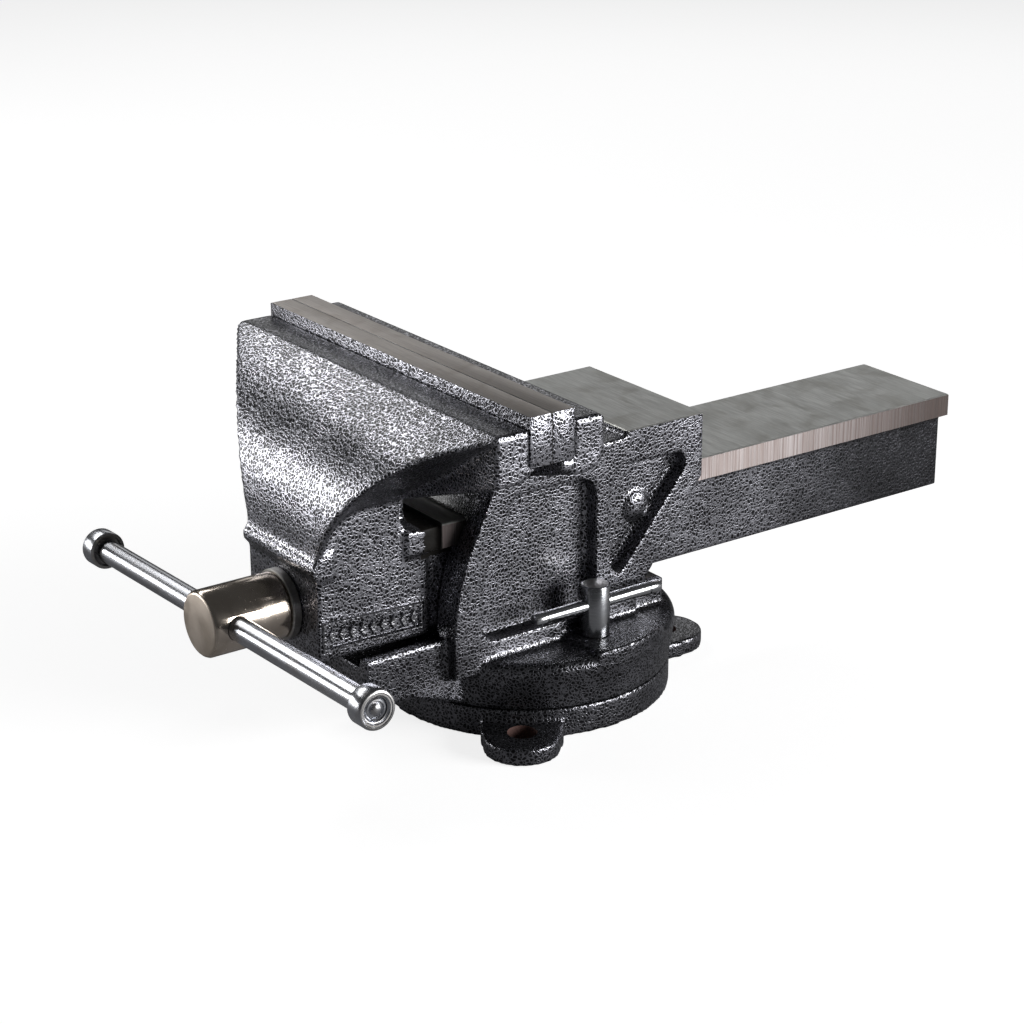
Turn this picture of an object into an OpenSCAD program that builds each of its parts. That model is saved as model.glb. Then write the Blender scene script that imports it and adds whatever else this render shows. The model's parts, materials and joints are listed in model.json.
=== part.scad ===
// Swivel-base bench vise with a T-shaped slide, anvil, two clamp screws and a sliding tommy bar.
// X runs across the jaws, +Y runs along the slide away from the handle, +Z is up.
// The origin is on the swivel axis, on the underside of the base.

/* [Jaws] */
// Width across the jaws
jaw_w = 200; // [190:1:210]
// Height of the tops of the jaw plates
plate_top = 166.6; // [165:0.1:168]
// Thickness of one jaw plate
plate_t = 11; // [10:0.1:11.1]
// Height of one jaw plate
plate_h = 21.6; // [20:0.1:22]
// Distance from the closed jaw line to the swivel axis
jaw_line = 57.7; // [57.5:0.1:58]

/* [Slide] */
// Width of the ground top flange of the slide
slide_w = 60; // [58:0.5:61]
// Height of the top of the slide
slide_top = 98.5; // [98:0.1:99]
// Thickness of the slide's top flange
flange_t = 10.8; // [10:0.1:11]
// Width of the slide below its flange
slide_web_w = 53; // [50:0.5:53]
// Rear end of the slide
slide_end = 233.5; // [225:0.5:240]

/* [Screw and handle] */
// Height of the screw axis
screw_z = 68; // [67:0.1:69]
// Radius over the thread
screw_r = 10; // [9:0.1:10.5]
// Radius of the screw's head
head_r = 14.6; // [13.5:0.1:15]
// Radius of the tommy bar
bar_r = 5.3; // [4.8:0.1:5.5]
// Length of the tommy bar over its caps
bar_l = 232.3; // [200:0.5:240]
// How far the tommy bar has slid towards +X
bar_shift = 3.75; // [-20:0.25:20]
// Tilt of the tommy bar, with its +X end up
bar_tilt = 1.6; // [0:0.1:5]

/* [Base] */
// Radius of the base
base_r = 66.2; // [65:0.1:67]
// Thickness of the base
base_h = 13.4; // [13:0.1:13.5]
// Radius of the circle of bench bolt holes
bolt_circle_r = 75; // [74:0.5:76]
// Radius of each bench bolt hole
bolt_hole_r = 6.5; // [5.5:0.25:7]
// Thickness of the bench lugs
lug_h = 7.5; // [7:0.1:9]

/* [Hidden] */
$fn = 96;
eps = 0.01;
fit = 0.05;         // radial clearance of a running fit
gap = 0.3;          // clearance around the sliding casting
paint = [0.22, 0.22, 0.24];
ground = [0.62, 0.62, 0.60];
bright = [0.75, 0.75, 0.77];
steel = [0.55, 0.53, 0.50];

jaw_x = jaw_w / 2;
jaw_top = plate_top - 5.3;          // tops of the castings behind the plates
plate_z = plate_top - plate_h;      // undersides of the plates
front_seat = -jaw_line - plate_t;   // face that the front plate bolts to
rear_seat = -jaw_line + plate_t;    // face that the rear plate bolts to
plate_screw_x = 65;
plate_screw_z = plate_top - 12;

block_x = 28.1;                     // half width of the block that carries the screw
block_y = -125.6;                   // front face of the block
block_back = -71;
block_z = 49.5;
slide_bottom = 51;
flange_z = slide_top - flange_t;
cavity_x = 16;                      // half width of the slide's hollow
cavity_y = -95;                     // front wall of the hollow
cavity_z = 84;

wing_z = 114;                       // height where the wings leave the block
wing_tip_z = 139.5;                 // underside of the wings at the jaw ends
apron_c = [-54.75, 96.65];          // centre (y, z) and radius of the apron's bulge
apron_r = 70.65;
apron_steps = 22;
apron_a0 = 1.5;                     // the bulge starts just above the ridge
apron_a1 = 64.6;                    // and ends at the top edge of the jaw
trim_c = [131.65, 48.65];           // centre (x, z) and radius of the curve that trims its sides
trim_r = 115.1;
hollow_c = [-102, 92];              // centre (y, z) and radius of the curve under the apron
hollow_r = 22;

body_x = 42;                        // half width of the body
body_front = -66.3;
anvil_z = 125.5;
anvil_y = [25.7, 68.9];
deck_z = 122.7;                     // casting between the rear jaw and the anvil
tail_z = 96;                        // bottom of the anvil's rear face
pocket_d = 8;
turn_z = base_h + 0.2;              // underside of the turntable
turn_r = 68.65;
turn_top = 35.6;
pad_top = 38.2;                     // pads under the clamp screws
trough_x = 35;
trough_y = [-107, 53];
trough_z = [24, 47.5];

clamp_x = 49.9;
clamp_y = 2.7;
clamp_head_r = 6.4;
clamp_top = 62;
clamp_bar_z = 52.6;
clamp_bar_r = 2.9;
clamp_bar_y = [-30.7, 38.1];
shank_r = 4;
slot_r = 50;                        // centre line of the round T-slot in the base
slot_neck = 4.5;
slot_half = 8;
slot_z = [3.5, 8.9];

handle_y = -155.5;
head_y = [-166.6, -130];
screw_end = 190;
cap_l = 10;
cap_r = 8.5;
washer_y = [-129.9, -125.7];
spring_y = [-94.7, -83];
collar_y = [-82.7, -73];
nut_y = [-32, 32];
nut_z = [47.6, 82.5];
nut_x = 14.5;
nut_bolt_y = 22;

// An outline given as (y, z), extruded across the vise from -half to +half.
module across(half) {
  translate([-half, 0, 0])
    rotate([90, 0, 90])
      linear_extrude(2 * half)
        children();
}

// An outline given as (x, z), extruded from y0 to y1.
module along(y0, y1) {
  translate([0, y1, 0])
    rotate([90, 0, 0])
      linear_extrude(y1 - y0)
        children();
}

// A round bar parallel to Y.
module rod(y0, y1, r, x = 0, z = screw_z) {
  translate([x, y0, z])
    rotate([-90, 0, 0])
      cylinder(h = y1 - y0, r = r);
}

// A turned piece parallel to Y from an outline given as (radius, y).
module turned(points) {
  translate([0, 0, screw_z])
    rotate([-90, 0, 0])
      rotate_extrude()
        polygon(points);
}

// A chamfered cylinder outline from z0 to z1, as (radius, z).
function chamfered(r, z0, z1, c) =
  [[0, z0], [r - c, z0], [r, z0 + c], [r, z1 - c], [r - c, z1], [0, z1]];

// Points on an arc in a plane.
function arc(c, r, a0, a1, n = 12) =
  [for (i = [0:n]) let (a = a0 + (a1 - a0) * i / n) [c[0] + r * cos(a), c[1] + r * sin(a)]];

module box(x, y, z) {
  translate([x[0], y[0], z[0]])
    cube([x[1] - x[0], y[1] - y[0], z[1] - z[0]]);
}

// ---- base ----

module lug_outline() {
  translate([bolt_circle_r + 1.5, 0])
    circle(r = 17);
  translate([40, -18])
    square([bolt_circle_r - 40, 36]);
}

module base_plate() {
  color(paint)
    difference() {
      union() {
        cylinder(h = base_h, r = base_r);
        for (a = [-36.5, 83.5, 203.5])
          rotate(a)
            linear_extrude(lug_h)
              lug_outline();
      }
      for (a = [-36.5, 83.5, 203.5])
        rotate(a)
          translate([bolt_circle_r, 0, -1])
            cylinder(h = lug_h + 2, r = bolt_hole_r);
      rotate_extrude()
        polygon([[slot_r - slot_half, slot_z[0]], [slot_r + slot_half, slot_z[0]],
          [slot_r + slot_half, slot_z[1]], [slot_r + slot_neck, slot_z[1]],
          [slot_r + slot_neck, base_h + 1], [slot_r - slot_neck, base_h + 1],
          [slot_r - slot_neck, slot_z[1]], [slot_r - slot_half, slot_z[1]]]);
      translate([0, slot_r, -1])
        cylinder(h = 6, r = slot_half - eps);
      translate([0, 0, -1])
        cylinder(h = base_h + 2, r = 10);
      translate([0, 0, -1])
        cylinder(h = 6.7, r = 16);
    }
}

module pivot_bolt() {
  color(steel)
    rotate_extrude()
      polygon([[0, 0.8], [14, 0.8], [15, 1.8], [15, 5.5], [10 - fit, 5.5], [10 - fit, 29],
        [9, 30], [0, 30]]);
}

// ---- turntable casting with the rear jaw and the anvil ----

function body_outline() = concat(
  [[body_front, 30], [body_front, 45]],
  arc([body_front + 115, 45], 115, 180, 161, 8),
  [[rear_seat, 111], [rear_seat, 140], [-31.2, 140]],
  arc([-21.2, 133], 10, 180, 270, 6),
  [[13, deck_z - 0.4], [anvil_y[0], deck_z], [anvil_y[1], deck_z], [anvil_y[1], tail_z],
    [33, 48], [31, 30]]);

module front_pocket() {
  polygon(concat(
    arc([-43, 54], 10, 180, 270, 8),
    [[9, 44]],
    arc([1, 100], 8, 0, 90, 8),
    [[-34, 108], [-43, 92], [-50.5, 74]]));
}

module rear_pocket() {
  polygon(concat(
    [[17.5, 64]],
    arc([22, 64], 4, 180, 315, 6),
    arc([53.5, 104], 5.5, -38, 70, 6),
    arc([25, 104], 6, 100, 180, 6),
    [[17.5, 98]]));
}

module clamp_pad() {
  intersection() {
    box([33, turn_r], [-9, 34], [30, pad_top]);
    cylinder(h = 50, r = turn_r);
  }
}

module rear_jaw_outline() {
  polygon(concat(
    [[rear_seat, jaw_top], [rear_seat, plate_z - 0.1], [-53, plate_z - 0.1], [-53, 140.8], [-46, 137.4],
      [-40, 137.4]],
    arc([-40.2, 146.4], 9, -90, 0, 6),
    [[-31.2, jaw_top - 2], [-33.2, jaw_top]]));
}

module turntable_body() {
  color(paint)
    difference() {
      union() {
        rotate_extrude()
          polygon(concat([[0, turn_z], [base_r, turn_z], [turn_r, 31]],
            arc([turn_r - 4, turn_top - 4], 4, 0, 90, 6), [[0, turn_top]]));
        clamp_pad();
        mirror([1, 0, 0])
          clamp_pad();
        across(trough_x)
          polygon([[trough_y[0], trough_z[0]], [trough_y[0], trough_z[1]], [trough_y[1], trough_z[1]],
            [trough_y[1], trough_z[0]], [-48, turn_z + 0.6], [-56, turn_z + 0.9], [-86, trough_z[0]]]);
        across(body_x)
          polygon(body_outline());
        box([-body_x + 0.3, body_x - 0.3], anvil_y, [deck_z - 5, anvil_z]);
        across(jaw_x)
          rear_jaw_outline();
        along(rear_seat, -41)
          polygon([[-jaw_x, 142], [-jaw_x, 137.8], [-body_x + 1, 119], [body_x - 1, 119],
            [jaw_x, 137.8], [jaw_x, 142]]);
      }
      box([-slide_web_w / 2 - gap, slide_web_w / 2 + gap], [-120, 120], [trough_z[1], flange_z]);
      box([-slide_w / 2 - gap, slide_w / 2 + gap], [-120, 120], [flange_z - 0.1, slide_top + gap]);
      box([-29.5, 29.5], [-120, -50], [43.5, trough_z[1] + 1]);
      for (side = [0, 1])
        mirror([side, 0, 0])
          translate([body_x - pocket_d + 25, 0, 0])
            across(25) {
              front_pocket();
              rear_pocket();
            }
      translate([0, 0, turn_z - 1])
        cylinder(h = 17.5, r = 10);
      for (x = [-clamp_x, clamp_x])
        translate([x, clamp_y, 0])
          cylinder(h = 45, r = shank_r + 0.3);
      for (y = [-nut_bolt_y, nut_bolt_y])
        translate([0, y, 0]) {
          cylinder(h = 60, r = 5.2);
          cylinder(h = 24, r = 9);
        }
      for (x = [-plate_screw_x, plate_screw_x])
        rod(rear_seat - 1, rear_seat + 12, 4, x, plate_screw_z);
    }
}

// ---- jaw plates and their screws ----

module jaw_plate(y0, y1, bore_y0, bore_y1) {
  difference() {
    box([-jaw_x, jaw_x], [y0, y1], [plate_z, plate_top]);
    for (x = [-plate_screw_x, plate_screw_x]) {
      rod(y0 - 1, y1 + 1, 4.3, x, plate_screw_z);
      rod(bore_y0, bore_y1, 7, x, plate_screw_z);
    }
  }
}

module rear_jaw_plate() {
  color(ground)
    jaw_plate(-jaw_line + fit, rear_seat, -jaw_line - 1, -jaw_line + 7);
}

module front_jaw_plate() {
  color(ground)
    jaw_plate(front_seat, -jaw_line - fit, -jaw_line - 7, -jaw_line + 1);
}

// A socket-head screw whose head faces the jaw line; dir is +1 towards the rear.
module plate_screw(dir) {
  rotate([-90 * dir, 0, 0])
    difference() {
      rotate_extrude()
        polygon([[0, -6.7], [5.6, -6.7], [6.4, -5.9], [6.4, 0], [4 - fit, 0], [4 - fit, 15], [0, 15]]);
      translate([0, 0, -7])
        cylinder(h = 4.5, r = 3.4, $fn = 6);
    }
}

module rear_plate_screws() {
  color(steel)
    for (x = [-plate_screw_x, plate_screw_x])
      translate([x, -jaw_line + 7, plate_screw_z])
        plate_screw(1);
}

module front_plate_screws() {
  color(steel)
    for (x = [-plate_screw_x, plate_screw_x])
      translate([x, -jaw_line - 7, plate_screw_z])
        plate_screw(-1);
}

// ---- nut in the body ----

module lead_nut() {
  color(steel)
    difference() {
      box([-nut_x, nut_x], nut_y, nut_z);
      rod(nut_y[0] - 1, nut_y[1] + 1, screw_r + fit);
      for (y = [-nut_bolt_y, nut_bolt_y])
        translate([0, y, 40])
          cylinder(h = 17, r = 5);
    }
}

module nut_bolts() {
  color(steel)
    for (y = [-nut_bolt_y, nut_bolt_y])
      translate([0, y, 0]) {
        translate([0, 0, 17.5])
          cylinder(h = 6.5, r = 8.2, $fn = 6);
        translate([0, 0, 23])
          cylinder(h = 32, r = 5 - fit);
      }
}

// ---- movable casting: apron, jaw, block and slide ----

function apron_y(a) = apron_c[0] - apron_r * cos(a);
function apron_z(a) = apron_c[1] + apron_r * sin(a);
function trim_x(z) = min(jaw_x, trim_c[0] - sqrt(trim_r ^ 2 - (z - trim_c[1]) ^ 2));
function hollow_z(y) = y > hollow_c[0] ? wing_z
  : hollow_c[1] + sqrt(max(0, hollow_r ^ 2 - (y - hollow_c[0]) ^ 2));

// One section of the apron: wide along its top, narrow where it meets the block.
function apron_ring(a) =
  let (y = apron_y(a), z = apron_z(a), xb = block_x - 0.2, x = max(xb + 0.5, trim_x(z)),
    zb = min(hollow_z(y), z - 5))
  [[-x, y, z], [x, y, z], [xb, y, zb], [xb, y, zb - 4], [-xb, y, zb - 4], [-xb, y, zb]];

// The first section, buried in the ridge.
function buried_ring() =
  let (y = block_y - 0.5, xb = block_x - 0.2, x = xb + 0.5)
  [[-x, y, 93], [x, y, 93], [xb, y, 92], [xb, y, 90.5], [-xb, y, 90.5], [-xb, y, 92]];

module apron() {
  n = 6;
  steps = apron_steps + 1;
  rings = concat([buried_ring()],
    [for (i = [0:apron_steps]) apron_ring(apron_a0 + (apron_a1 - apron_a0) * i / apron_steps)]);
  last = steps * n;
  polyhedron(
    points = [for (ring = rings) for (p = ring) p],
    faces = concat(
      [[for (k = [0:n - 1]) k]],
      [[for (k = [0:n - 1]) last + n - 1 - k]],
      [for (i = [0:steps - 1]) for (k = [0:n - 1])
        [i * n + k, (i + 1) * n + k, (i + 1) * n + (k + 1) % n]],
      [for (i = [0:steps - 1]) for (k = [0:n - 1])
        [i * n + k, (i + 1) * n + (k + 1) % n, i * n + (k + 1) % n]]));
}

module front_jaw_bar() {
  intersection() {
    across(jaw_x)
      polygon([[-85.2, 100], [-85.2, jaw_top - 1], [-84.2, jaw_top], [front_seat, jaw_top],
        [front_seat, plate_z - 0.1], [-64.6, plate_z - 0.1], [-70, 140.8], [-74, 139], [-76, 100]]);
    along(-90, -60)
      polygon([[-jaw_x, wing_tip_z], [-block_x, wing_z], [block_x, wing_z], [jaw_x, wing_tip_z],
        [jaw_x, 170], [-jaw_x, 170]]);
  }
}

module front_block() {
  across(block_x)
    polygon(concat(
      [[block_back, block_z], [block_y, block_z]],
      [[block_y, 92]],
      arc([-102, 90], 22, 175, 90, 10),
      [[-84, 112]],
      arc([-76, slide_top + 8], 8, 180, 270, 6),
      [[block_back, slide_top]]));
  across(16)
    polygon([[-90, 95], [-90, 130], [-74, 130], [-74, 95]]);
}

// The bead that runs across the block under the apron.
module ridge() {
  across(block_x + 0.8)
    polygon(concat([[-118, 86.6]], arc([-123.2, 91], 4.9, 250, 110, 9), [[-118, 98]]));
}

module name_panel() {
  across(block_x + 0.9)
    difference() {
      polygon([[-124, 54.2], [-124, 67.8], [-74.2, 65.4], [-74.2, 53.2]]);
      polygon([[-122.3, 56], [-122.3, 66], [-75.9, 63.8], [-75.9, 55]]);
    }
}

module movable_jaw() {
  color(paint)
    difference() {
      union() {
        apron();
        front_jaw_bar();
        front_block();
        name_panel();
        ridge();
        box([-slide_w / 2, slide_w / 2], [-82, slide_end], [flange_z, slide_top]);
        box([-slide_web_w / 2, slide_web_w / 2], [-78, slide_end - 2], [slide_bottom, flange_z + 1]);
      }
      box([-cavity_x, cavity_x], [cavity_y, slide_end - 10], [40, cavity_z]);
      rod(block_y - 2, cavity_y + 1, screw_r + fit);
      for (x = [-plate_screw_x, plate_screw_x])
        rod(front_seat - 12, front_seat + 1, 4, x, plate_screw_z);
    }
}

// ---- screw ----

module spindle() {
  color(bright)
    difference() {
      turned([[0, head_y[0]], [head_r - 1.6, head_y[0]], [head_r, head_y[0] + 1.6],
        [head_r, head_y[1] - 0.8], [head_r - 0.8, head_y[1]], [screw_r, head_y[1]],
        [screw_r, screw_end - 2], [screw_r - 2, screw_end], [0, screw_end]]);
      translate([0, handle_y, screw_z])
        rotate([0, 90 - bar_tilt, 0])
          cylinder(h = 60, r = bar_r + 0.2, center = true);
      translate([0, (collar_y[0] + collar_y[1]) / 2, screw_z])
        cylinder(h = 60, r = 2.5, center = true);
    }
}

module thrust_washer() {
  color(steel)
    difference() {
      rod(washer_y[0], washer_y[1], 15.6);
      rod(washer_y[0] - 1, washer_y[1] + 1, screw_r + fit);
    }
}

// A coil of round wire about the screw axis.
module take_up_spring() {
  wire_r = 1.4;
  coil_r = 13;
  turns = 3;
  steps = turns * 20;
  sides = 8;
  pitch = (spring_y[1] - spring_y[0] - 2 * wire_r) / turns;
  rings = [for (i = [0:steps])
    let (a = 360 * turns * i / steps)
    [for (k = [0:sides - 1])
      let (b = -360 * k / sides, r = coil_r + wire_r * cos(b))
      [r * cos(a), spring_y[0] + wire_r + pitch * a / 360 + wire_r * sin(b),
        screw_z + r * sin(a)]]];
  color(bright)
    polyhedron(
      points = [for (ring = rings) for (p = ring) p],
      faces = concat(
        [[for (k = [0:sides - 1]) k]],
        [[for (k = [0:sides - 1]) steps * sides + sides - 1 - k]],
        [for (i = [0:steps - 1]) for (k = [0:sides - 1])
          [i * sides + k, (i + 1) * sides + k, (i + 1) * sides + (k + 1) % sides]],
        [for (i = [0:steps - 1]) for (k = [0:sides - 1])
          [i * sides + k, (i + 1) * sides + (k + 1) % sides, i * sides + (k + 1) % sides]]));
}

module retaining_collar() {
  color(steel)
    difference() {
      rod(collar_y[0], collar_y[1], 14.8);
      rod(collar_y[0] - 1, collar_y[1] + 1, screw_r);
      translate([0, (collar_y[0] + collar_y[1]) / 2, screw_z])
        cylinder(h = 60, r = 2.5, center = true);
    }
}

module collar_pin() {
  color(steel)
    translate([0, (collar_y[0] + collar_y[1]) / 2, screw_z])
      cylinder(h = 28.4, r = 2.5, center = true);
}

// ---- tommy bar ----

// Places a piece drawn along Z on the axis of the tommy bar, at a distance from the screw axis.
module on_bar(distance) {
  translate([0, handle_y, screw_z])
    rotate([0, 90 - bar_tilt, 0])
      translate([0, 0, distance])
        children();
}

module handle_bar() {
  color(bright)
    on_bar(bar_shift)
      rotate_extrude()
        polygon(chamfered(bar_r, -bar_l / 2 + 0.8, bar_l / 2 - 0.8, 1.2));
}

module handle_cap() {
  color(bright)
    rotate_extrude()
      polygon([[bar_r, 0.8], [cap_r - 1, 0.8], [cap_r, 1.6], [cap_r, cap_l - 1.3],
        [cap_r - 1.3, cap_l], [bar_r + 0.9, cap_l], [bar_r, cap_l - 1.2]]);
}

module handle_cap_left() {
  on_bar(bar_shift - bar_l / 2 + cap_l)
    rotate([180, 0, 0])
      handle_cap();
}

module handle_cap_right() {
  on_bar(bar_shift + bar_l / 2 - cap_l)
    handle_cap();
}

// ---- swivel clamps ----

module clamp_screw(x) {
  color(bright)
    difference() {
      translate([x, clamp_y, 0])
        rotate_extrude()
          polygon([[0, 3.8], [shank_r - 1, 3.8], [shank_r, 4.8], [shank_r, pad_top + 0.1],
            [clamp_head_r - 0.4, pad_top + 0.1], [clamp_head_r, pad_top + 0.5],
            [clamp_head_r, clamp_top - 0.7], [clamp_head_r - 0.7, clamp_top], [0, clamp_top]]);
      rod(-40, 40, clamp_bar_r + 0.1, x, clamp_bar_z);
    }
}

module clamp_screw_left() {
  clamp_screw(-clamp_x);
}

module clamp_screw_right() {
  clamp_screw(clamp_x);
}

module clamp_bar(x) {
  y0 = clamp_bar_y[0];
  y1 = clamp_bar_y[1];
  r = clamp_bar_r;
  color(bright)
    translate([x, 0, clamp_bar_z])
      rotate([-90, 0, 0])
        rotate_extrude()
          polygon([[0, y0], [r - 0.6, y0], [r, y0 + 0.6], [r, y0 + 5.6], [r - 0.4, y0 + 6],
            [r, y0 + 6.4], [r, y1 - 6.4], [r - 0.4, y1 - 6], [r, y1 - 5.6], [r, y1 - 0.6],
            [r - 0.6, y1], [0, y1]]);
}

module clamp_bar_left() {
  clamp_bar(-clamp_x);
}

module clamp_bar_right() {
  clamp_bar(clamp_x);
}

module clamp_nut(x) {
  color(steel)
    translate([x, clamp_y, 0])
      difference() {
        translate([0, 0, slot_z[0] + 0.3])
          cylinder(h = slot_z[1] - slot_z[0] - 0.5, r = 7.5);
        cylinder(h = 20, r = shank_r + fit);
      }
}

module clamp_nut_left() {
  clamp_nut(-clamp_x);
}

module clamp_nut_right() {
  clamp_nut(clamp_x);
}

base_plate();
pivot_bolt();
turntable_body();
rear_jaw_plate();
rear_plate_screws();
lead_nut();
nut_bolts();
movable_jaw();
front_jaw_plate();
front_plate_screws();
spindle();
thrust_washer();
take_up_spring();
retaining_collar();
collar_pin();
handle_bar();
handle_cap_left();
handle_cap_right();
clamp_screw_left();
clamp_screw_right();
clamp_bar_left();
clamp_bar_right();
clamp_nut_left();
clamp_nut_right();
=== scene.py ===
import json
import math

import bmesh
import bpy
from mathutils import Matrix, Vector


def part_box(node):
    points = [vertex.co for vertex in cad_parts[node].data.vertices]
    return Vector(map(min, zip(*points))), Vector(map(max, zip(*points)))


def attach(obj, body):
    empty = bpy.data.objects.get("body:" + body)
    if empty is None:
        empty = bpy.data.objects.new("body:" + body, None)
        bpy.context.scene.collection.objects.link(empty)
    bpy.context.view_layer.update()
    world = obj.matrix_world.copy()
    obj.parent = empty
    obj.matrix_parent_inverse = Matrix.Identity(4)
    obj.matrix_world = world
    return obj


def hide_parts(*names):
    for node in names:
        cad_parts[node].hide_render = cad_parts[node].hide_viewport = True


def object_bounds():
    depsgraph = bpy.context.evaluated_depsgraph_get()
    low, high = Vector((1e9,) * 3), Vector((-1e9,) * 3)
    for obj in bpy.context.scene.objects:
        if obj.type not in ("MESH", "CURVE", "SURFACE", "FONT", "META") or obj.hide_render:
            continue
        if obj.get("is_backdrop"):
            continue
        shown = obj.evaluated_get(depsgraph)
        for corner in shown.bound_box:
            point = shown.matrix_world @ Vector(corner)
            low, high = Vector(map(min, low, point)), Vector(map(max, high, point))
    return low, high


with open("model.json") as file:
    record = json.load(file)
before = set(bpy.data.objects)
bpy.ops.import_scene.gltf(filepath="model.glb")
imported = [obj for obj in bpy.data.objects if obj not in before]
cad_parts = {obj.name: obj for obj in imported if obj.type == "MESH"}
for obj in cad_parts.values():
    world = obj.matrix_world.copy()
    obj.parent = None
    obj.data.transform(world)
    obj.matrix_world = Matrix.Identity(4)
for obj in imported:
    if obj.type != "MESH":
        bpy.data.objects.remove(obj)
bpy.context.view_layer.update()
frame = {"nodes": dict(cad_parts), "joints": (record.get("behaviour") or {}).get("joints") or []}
nodes = frame["nodes"]
joints = {joint["name"]: joint for joint in frame["joints"]}


# ---- base plate ----
# A flat iron casting bolted to the bench through three lugs, sprayed with hammertone enamel.
# Its edges are the soft ones that a sand mould leaves, and only the bolt holes are drilled.

base_lug_angles = (-36.5, 83.5, 203.5)
bolt_circle = 0.075
bolt_hole = 0.0065
lug_top = 0.0075


def shelve(name, mesh):
    """Puts a mesh in the scene as an object at the origin."""
    made = bpy.data.objects.new(name, mesh)
    bpy.context.scene.collection.objects.link(made)
    return made


def face_out(mesh):
    """Merges a mesh's doubles and turns its faces outwards."""
    work = bmesh.new()
    work.from_mesh(mesh)
    bmesh.ops.remove_doubles(work, verts=work.verts, dist=1e-6)
    bmesh.ops.recalc_face_normals(work, faces=work.faces)
    work.to_mesh(mesh)
    work.free()


def prism(name, outline, start, end, along):
    """A straight bar of any section, cut from start to end along x, y or z."""
    if along == "x":
        points = [(c, a, b) for c in (start, end) for a, b in outline]
    elif along == "y":
        points = [(a, c, b) for c in (start, end) for a, b in outline]
    else:
        points = [(a, b, c) for c in (start, end) for a, b in outline]
    n = len(outline)
    sides = [(k, (k + 1) % n, (k + 1) % n + n, k + n) for k in range(n)]
    mesh = bpy.data.meshes.new(name)
    mesh.from_pydata(points, [], sides + [tuple(range(n)), tuple(range(n, 2 * n))])
    face_out(mesh)
    return shelve(name, mesh)


def block(name, low, high):
    """A plain block between two corners."""
    corners = [(low[0], low[2]), (high[0], low[2]), (high[0], high[2]), (low[0], high[2])]
    return prism(name, corners, low[1], high[1], "y")


def turned(name, outline, centre, axis, segments=96):
    """A lathe-turned solid from an outline of (radius, distance along the axis)."""
    centre = Vector(centre)
    axis = Vector(axis).normalized()
    across = axis.orthogonal().normalized()
    up = axis.cross(across)
    work = bmesh.new()
    rings = []
    for radius, distance in outline:
        middle = centre + axis * distance
        if radius < 1e-7:
            rings.append([work.verts.new(middle)] * segments)
            continue
        ring = []
        for k in range(segments):
            turn = 2 * math.pi * k / segments
            ring.append(work.verts.new(middle + (across * math.cos(turn) + up * math.sin(turn)) * radius))
        rings.append(ring)
    pairs = list(zip(rings, rings[1:]))
    if outline[0][0] > 1e-7:
        pairs.append((rings[-1], rings[0]))
    for near, far in pairs:
        for k in range(segments):
            n = (k + 1) % segments
            corners = list(dict.fromkeys((near[k], near[n], far[n], far[k])))
            if len(corners) > 2:
                work.faces.new(corners)
    bmesh.ops.recalc_face_normals(work, faces=work.faces)
    mesh = bpy.data.meshes.new(name)
    work.to_mesh(mesh)
    work.free()
    return shelve(name, mesh)


def bake(piece):
    """Turns a piece's modifiers into its mesh."""
    bpy.context.view_layer.update()
    mesh = bpy.data.meshes.new_from_object(piece.evaluated_get(bpy.context.evaluated_depsgraph_get()))
    piece.modifiers.clear()
    piece.data = mesh


def join(piece, *extras):
    """Adds other meshes to a piece's mesh, as they are."""
    work = bmesh.new()
    for mesh in (piece.data,) + extras:
        work.from_mesh(mesh)
    work.to_mesh(piece.data)
    work.free()


def coat(piece, *materials):
    """Gives a piece its materials, in slot order, in place of any it had."""
    piece.data.materials.clear()
    for material in materials:
        piece.data.materials.append(material)


def machine(piece, cutters):
    """Cuts each cutter out of a piece, then puts the cutter away."""
    for cutter in cutters:
        cut = piece.modifiers.new("cut", "BOOLEAN")
        cut.operation = "DIFFERENCE"
        cut.solver = "EXACT"
        cut.object = cutter
    bake(piece)
    for cutter in cutters:
        bpy.data.objects.remove(cutter)


def soften(piece, angle=32):
    """Shades a piece smooth, and keeps its machined edges sharp."""
    piece.data.shade_smooth()
    piece.data.set_sharp_from_angle(angle=math.radians(angle))


def sand_cast(name, node, stock, cutters, grain=0.0011, rubs=6, keep=0.45):
    """A copy of a node with extra stock, given the soft edges of a casting and then machined."""
    blank = shelve(name, nodes[node].data.copy())
    blank.data.materials.clear()
    face_out(blank.data)
    join(blank, *[extra.data for extra in stock])
    for extra in stock:
        bpy.data.objects.remove(extra)
    sand = blank.modifiers.new("sand", "REMESH")
    sand.mode = "VOXEL"
    sand.voxel_size = grain
    rub = blank.modifiers.new("rub", "SMOOTH")
    rub.factor = 0.5
    rub.iterations = rubs
    thin = blank.modifiers.new("thin", "DECIMATE")
    thin.ratio = keep
    bake(blank)
    machine(blank, cutters)
    return blank


def add(tree, kind, inputs=None, **settings):
    """Adds a node with its settings, and links or fills its inputs."""
    made = tree.nodes.new(kind)
    for key, value in settings.items():
        setattr(made, key, value)
    for key, value in (inputs or {}).items():
        if isinstance(value, bpy.types.NodeSocket):
            tree.links.new(value, made.inputs[key])
        else:
            made.inputs[key].default_value = value
    return made


def effect(name, takes, gives):
    """An empty shader group with named inputs and outputs, and its two end nodes."""
    group = bpy.data.node_groups.new(name, "ShaderNodeTree")
    for label, kind in takes.items():
        group.interface.new_socket(label, in_out="INPUT", socket_type=kind)
    for label, kind in gives.items():
        group.interface.new_socket(label, in_out="OUTPUT", socket_type=kind)
    return group, group.nodes.new("NodeGroupInput"), group.nodes.new("NodeGroupOutput")


def spread(tree, value, low, high, to_low, to_high):
    """Eases a value from one range to another."""
    inputs = {"Value": value, "From Min": low, "From Max": high, "To Min": to_low, "To Max": to_high}
    return add(tree, "ShaderNodeMapRange", inputs, interpolation_type="SMOOTHSTEP").outputs["Result"]


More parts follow.
